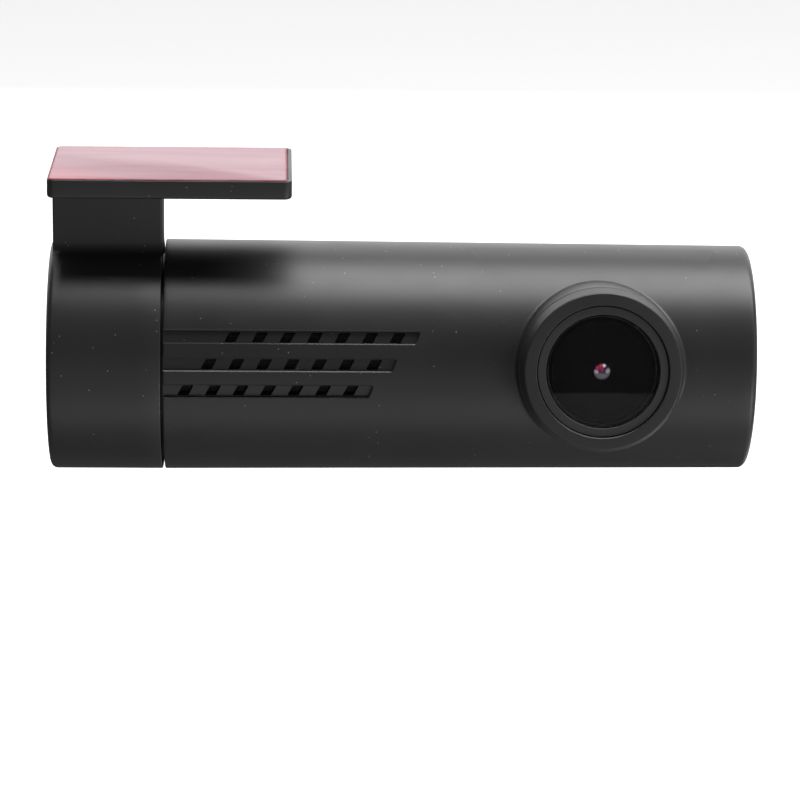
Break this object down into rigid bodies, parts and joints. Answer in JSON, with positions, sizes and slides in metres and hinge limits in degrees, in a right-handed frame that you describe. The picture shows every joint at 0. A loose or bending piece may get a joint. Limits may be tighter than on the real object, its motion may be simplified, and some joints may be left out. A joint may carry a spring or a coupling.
{
  "type": "dash camera",
  "caption": "Tubular dash camera whose barrel turns in the end ring of an adhesive windscreen bracket, with lens, vent grooves, button and sockets.",
  "frame": {"origin": "centre of the adhesive pad's outer face, on the release film", "axes": "+Z leaves the pad towards the windscreen; +X runs along the barrel away from the bracket; the lens looks towards -Y, tipped up 8.4 degrees"},
  "size_m": [0.0855, 0.0351, 0.0381],
  "materials": {
    "black_plastic": "satin black moulded plastic",
    "foam": "dark grey acrylic foam tape",
    "film": "pink translucent release film",
    "mesh": "black woven dust mesh",
    "steel": "plated steel",
    "lens_ring": "fine matte black",
    "lens_trim": "matte dark grey",
    "cover_glass": "polished dark glass",
    "gasket": "black rubber",
    "lens_black": "matte black",
    "lens_glass": "coated glass",
    "sensor": "sensor window over a dark die",
    "board_green": "green solder mask",
    "ribbon": "amber film ribbon",
    "chassis_plastic": "dark moulded plastic",
    "chip": "black epoxy",
    "tinned_steel": "tinned steel",
    "thermal_rubber": "grey-blue silicone",
    "spreader": "plain aluminium",
    "antenna_ceramic": "pale ceramic",
    "capacitor_sleeve": "dark blue sleeve",
    "speaker_black": "black frame and cone",
    "microphone_can": "gilt can",
    "card": "black card body",
    "usb_black": "black contact tongue",
    "button": "fine satin black",
    "switch": "tact switch",
    "light_guide": "frosted light guide",
    "led": "white LED"
  },
  "bodies": {
    "bracket_body": {"bracket": "black_plastic", "bracket_cap": "black_plastic", "foam_pad": "foam", "release_film": "film"},
    "barrel_body": {"barrel_shell": "black_plastic", "barrel_cap": "black_plastic", "vent_mesh": "mesh", "pivot_washer": "steel", "wave_washer": "steel", "pivot_screw": "steel", "lens_screws": "steel", "board_screws": "steel", "lens_front_ring": "lens_ring", "lens_trim_ring": "lens_trim", "cover_glass": "cover_glass", "glass_gasket": "gasket", "lens_barrel": "lens_black", "lens_holder": "lens_black", "front_lens": "lens_glass", "rear_lens": "lens_glass", "infrared_filter": "lens_glass", "image_sensor": "sensor", "sensor_board": "board_green", "main_board": "board_green", "sensor_cable": "ribbon", "chassis": "chassis_plastic", "main_processor": "chip", "memory_chip": "chip", "shield_can": "tinned_steel", "card_socket": "tinned_steel", "usb_socket": "tinned_steel", "thermal_pad": "thermal_rubber", "heat_spreader": "spreader", "wifi_antenna": "antenna_ceramic", "supercapacitor": "capacitor_sleeve", "speaker": "speaker_black", "microphone": "microphone_can", "usb_tongue": "usb_black", "button_switch": "switch", "light_ring": "light_guide", "status_led": "led"},
    "button_body": {"button_cap": "button"},
    "card_body": {"memory_card": "card"}
  },
  "joints": [
    {"name": "barrel_tilt", "type": "hinge", "parent": "bracket_body", "child": "barrel_body", "pos_m": [0, 0, -0.024], "axis": [-1, 0, 0], "range_deg": [-30, 80]},
    {"name": "button_press", "type": "slide", "parent": "barrel_body", "child": "button_body", "axis": [0, -0.9893, 0.1461], "range_m": [0, 0.0004], "stiffness_N_per_m": 800},
    {"name": "card_slide", "type": "slide", "parent": "barrel_body", "child": "card_body", "axis": [0, -0.1461, -0.9893], "range_m": [0, 0.012]}
  ]
}
